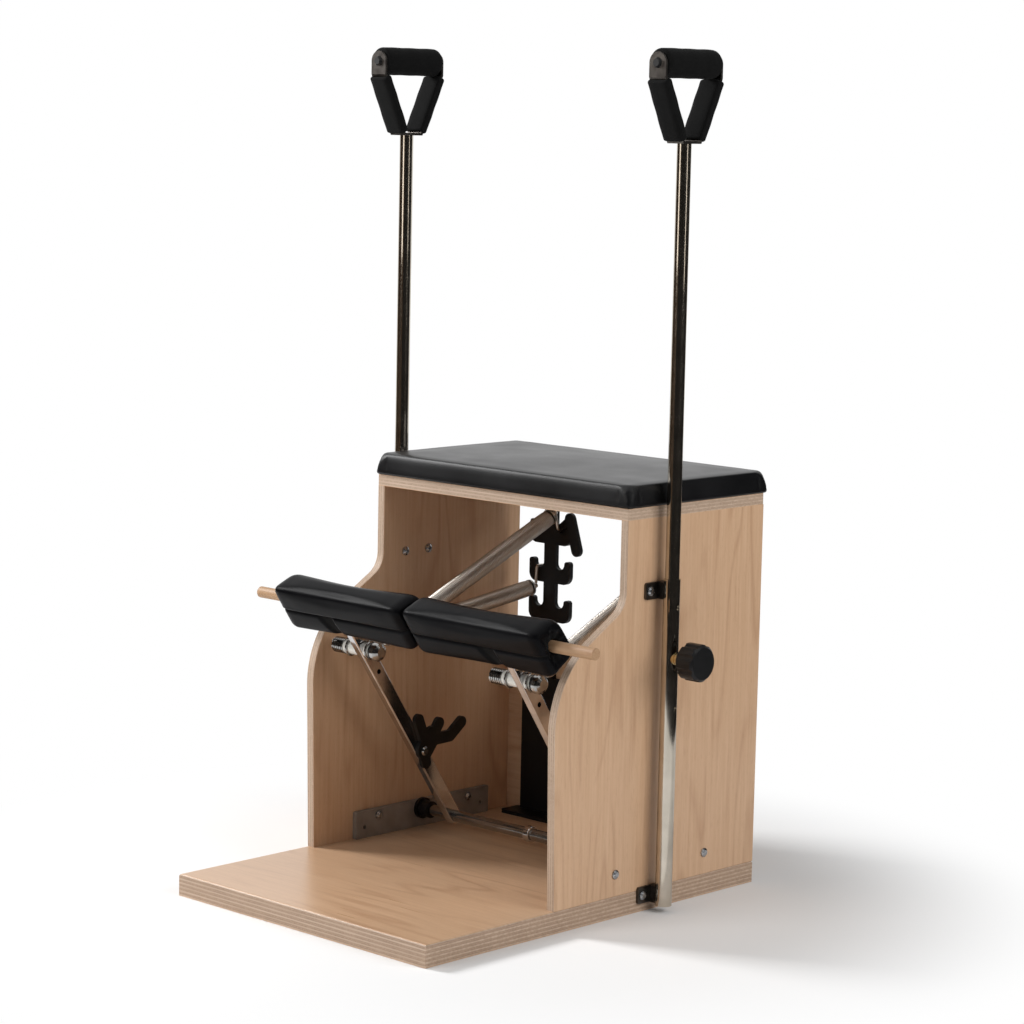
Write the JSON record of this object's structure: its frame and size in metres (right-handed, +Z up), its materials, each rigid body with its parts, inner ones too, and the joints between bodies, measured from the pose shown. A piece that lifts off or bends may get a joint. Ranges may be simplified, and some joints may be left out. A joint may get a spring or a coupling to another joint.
{
  "type": "pilates chair",
  "caption": "Plywood pilates chair with padded seat, sprung split foot pedal on a cross dowel, hooked spring posts and height-adjustable stirrup handles on side poles.",
  "frame": {"origin": "centre of the base board's underside, on the floor", "axes": "+X to the user's right, +Y to the back, +Z up; the pedals are at the front, towards -Y"},
  "size_m": [0.725, 0.73, 1.305],
  "materials": {
    "plywood": "satin lacquer",
    "dowel_wood": "sanded",
    "vinyl": "satin",
    "chrome": "polished",
    "spring_steel": "drawn wire",
    "plate_steel": "brushed",
    "black_steel": "satin powder coat",
    "black_plastic": "fine grain",
    "foam": "matt",
    "nylon": "smooth",
    "brass": "turned"
  },
  "bodies": {
    "chair_frame": {"base_board": "plywood", "back_panel": "plywood", "top_board": "plywood", "seat_cushion": "vinyl", "left_side_panel": "plywood", "right_side_panel": "plywood", "axle_brackets": "plate_steel", "axle_bearings": "black_plastic", "axle_shaft": "chrome", "axle_collar": "chrome", "bracket_bolts": "chrome", "standoff_bolts": "chrome", "knob_bushes": "brass", "spring_catches": "black_plastic", "left_spring_post": "black_steel", "right_spring_post": "black_steel", "left_spring_hooks": "spring_steel", "right_spring_hooks": "spring_steel", "left_pole_receiver": "chrome", "right_pole_receiver": "chrome", "left_pole_standoffs": "plate_steel", "right_pole_standoffs": "plate_steel"},
    "left_pedal": {"left_pedal_arm": "chrome", "left_axle_sleeve": "chrome", "left_pedal_plate": "plate_steel", "left_pedal_pad": "vinyl", "left_spring_spools": "nylon", "left_spool_washer": "black_plastic", "left_arm_bolts": "chrome", "left_spring_rest": "black_steel"},
    "right_pedal": {"right_pedal_arm": "chrome", "right_axle_sleeve": "chrome", "right_pedal_plate": "plate_steel", "right_pedal_pad": "vinyl", "right_spring_spools": "nylon", "right_spool_washer": "black_plastic", "right_arm_bolts": "chrome", "right_spring_rest": "black_steel"},
    "pedal_dowel": {"cross_dowel": "dowel_wood"},
    "left_upper_spring_link": {"left_upper_spring_plug": "spring_steel"},
    "left_upper_spring_body": {"left_upper_spring": "spring_steel"},
    "left_lower_spring_link": {"left_lower_spring_plug": "spring_steel"},
    "left_lower_spring_body": {"left_lower_spring": "spring_steel"},
    "right_upper_spring_link": {"right_upper_spring_plug": "spring_steel"},
    "right_upper_spring_body": {"right_upper_spring": "spring_steel"},
    "right_lower_spring_link": {"right_lower_spring_plug": "spring_steel"},
    "right_lower_spring_body": {"right_lower_spring": "spring_steel"},
    "left_handle": {"left_handle_pole": "chrome", "left_handle_strap": "chrome", "left_handle_foam": "foam", "left_grip_bolt": "chrome"},
    "left_knob": {"left_clamp_knob": "black_plastic", "left_knob_stud": "chrome"},
    "right_handle": {"right_handle_pole": "chrome", "right_handle_strap": "chrome", "right_handle_foam": "foam", "right_grip_bolt": "chrome"},
    "right_knob": {"right_clamp_knob": "black_plastic", "right_knob_stud": "chrome"}
  },
  "joints": [
    {"name": "left_pedal_press", "type": "hinge", "parent": "chair_frame", "child": "left_pedal", "pos_m": [-0.174, 0.135, 0.065], "axis": [1, 0, 0], "range_deg": [0, 52], "stiffness_Nm_per_rad": 60, "springref_deg": -34.38},
    {"name": "right_pedal_press", "type": "hinge", "parent": "chair_frame", "child": "right_pedal", "pos_m": [0.174, 0.135, 0.065], "axis": [1, 0, 0], "range_deg": [0, 52], "stiffness_Nm_per_rad": 60, "springref_deg": -34.38},
    {"name": "dowel_pull", "type": "slide", "parent": "left_pedal", "child": "pedal_dowel", "axis": [1, 0, 0], "range_m": [-0.36, 0]},
    {"name": "left_upper_spring_swing", "type": "hinge", "parent": "chair_frame", "child": "left_upper_spring_link", "pos_m": [-0.137, 0.325, 0.552], "axis": [0.9964, -0.074, 0.0419], "range_deg": [-1, 15.71]},
    {"name": "left_upper_spring_stretch", "type": "slide", "parent": "left_upper_spring_link", "child": "left_upper_spring_body", "axis": [-0.049, -0.9023, -0.4284], "range_m": [-0.004, 0.28775], "deforming": ["left_upper_spring"]},
    {"name": "left_lower_spring_swing", "type": "hinge", "parent": "chair_frame", "child": "left_lower_spring_link", "pos_m": [-0.183, 0.331, 0.424], "axis": [0.9982, -0.0516, 0.0292], "range_deg": [-1, 23.63]},
    {"name": "left_lower_spring_stretch", "type": "slide", "parent": "left_lower_spring_link", "child": "left_lower_spring_body", "axis": [-0.0467, -0.988, -0.1472], "range_m": [-0.004, 0.24986], "deforming": ["left_lower_spring"]},
    {"name": "right_upper_spring_swing", "type": "hinge", "parent": "chair_frame", "child": "right_upper_spring_link", "pos_m": [0.183, 0.325, 0.552], "axis": [0.9997, 0.0225, -0.0127], "range_deg": [-1, 15.69]},
    {"name": "right_upper_spring_stretch", "type": "slide", "parent": "right_upper_spring_link", "child": "right_upper_spring_body", "axis": [0.0148, -0.9032, -0.4289], "range_m": [-0.004, 0.28794], "deforming": ["right_upper_spring"]},
    {"name": "right_lower_spring_swing", "type": "hinge", "parent": "chair_frame", "child": "right_lower_spring_link", "pos_m": [0.137, 0.331, 0.424], "axis": [0.9996, 0.0245, -0.0138], "range_deg": [-1, 23.63]},
    {"name": "right_lower_spring_stretch", "type": "slide", "parent": "right_lower_spring_link", "child": "right_lower_spring_body", "axis": [0.0222, -0.9888, -0.1473], "range_m": [-0.004, 0.24999], "deforming": ["right_lower_spring"]},
    {"name": "left_handle_height", "type": "slide", "parent": "chair_frame", "child": "left_handle", "axis": [0, 0, 1], "range_m": [-0.1, 0.2]},
    {"name": "left_knob_turn", "type": "hinge", "parent": "chair_frame", "child": "left_knob", "pos_m": [-0.334, 0.122, 0.394], "axis": [-1, 0, 0], "continuous": true},
    {"name": "right_handle_height", "type": "slide", "parent": "chair_frame", "child": "right_handle", "axis": [0, 0, 1], "range_m": [-0.1, 0.2]},
    {"name": "right_knob_turn", "type": "hinge", "parent": "chair_frame", "child": "right_knob", "pos_m": [0.334, 0.122, 0.394], "axis": [1, 0, 0], "continuous": true}
  ],
  "couplings": [
    {"joint": "right_pedal_press", "follows": "left_pedal_press", "ratio": 1},
    {"joint": "left_upper_spring_swing", "follows": "left_pedal_press", "ratio": 0.28297},
    {"joint": "left_upper_spring_stretch", "follows": "left_pedal_press", "m_per_rad": 0.31265},
    {"joint": "left_lower_spring_swing", "follows": "left_pedal_press", "ratio": 0.43526},
    {"joint": "left_lower_spring_stretch", "follows": "left_pedal_press", "m_per_rad": 0.27089},
    {"joint": "right_upper_spring_swing", "follows": "left_pedal_press", "ratio": 0.28245},
    {"joint": "right_upper_spring_stretch", "follows": "left_pedal_press", "m_per_rad": 0.31286},
    {"joint": "right_lower_spring_swing", "follows": "left_pedal_press", "ratio": 0.43517},
    {"joint": "right_lower_spring_stretch", "follows": "left_pedal_press", "m_per_rad": 0.27104}
  ]
}
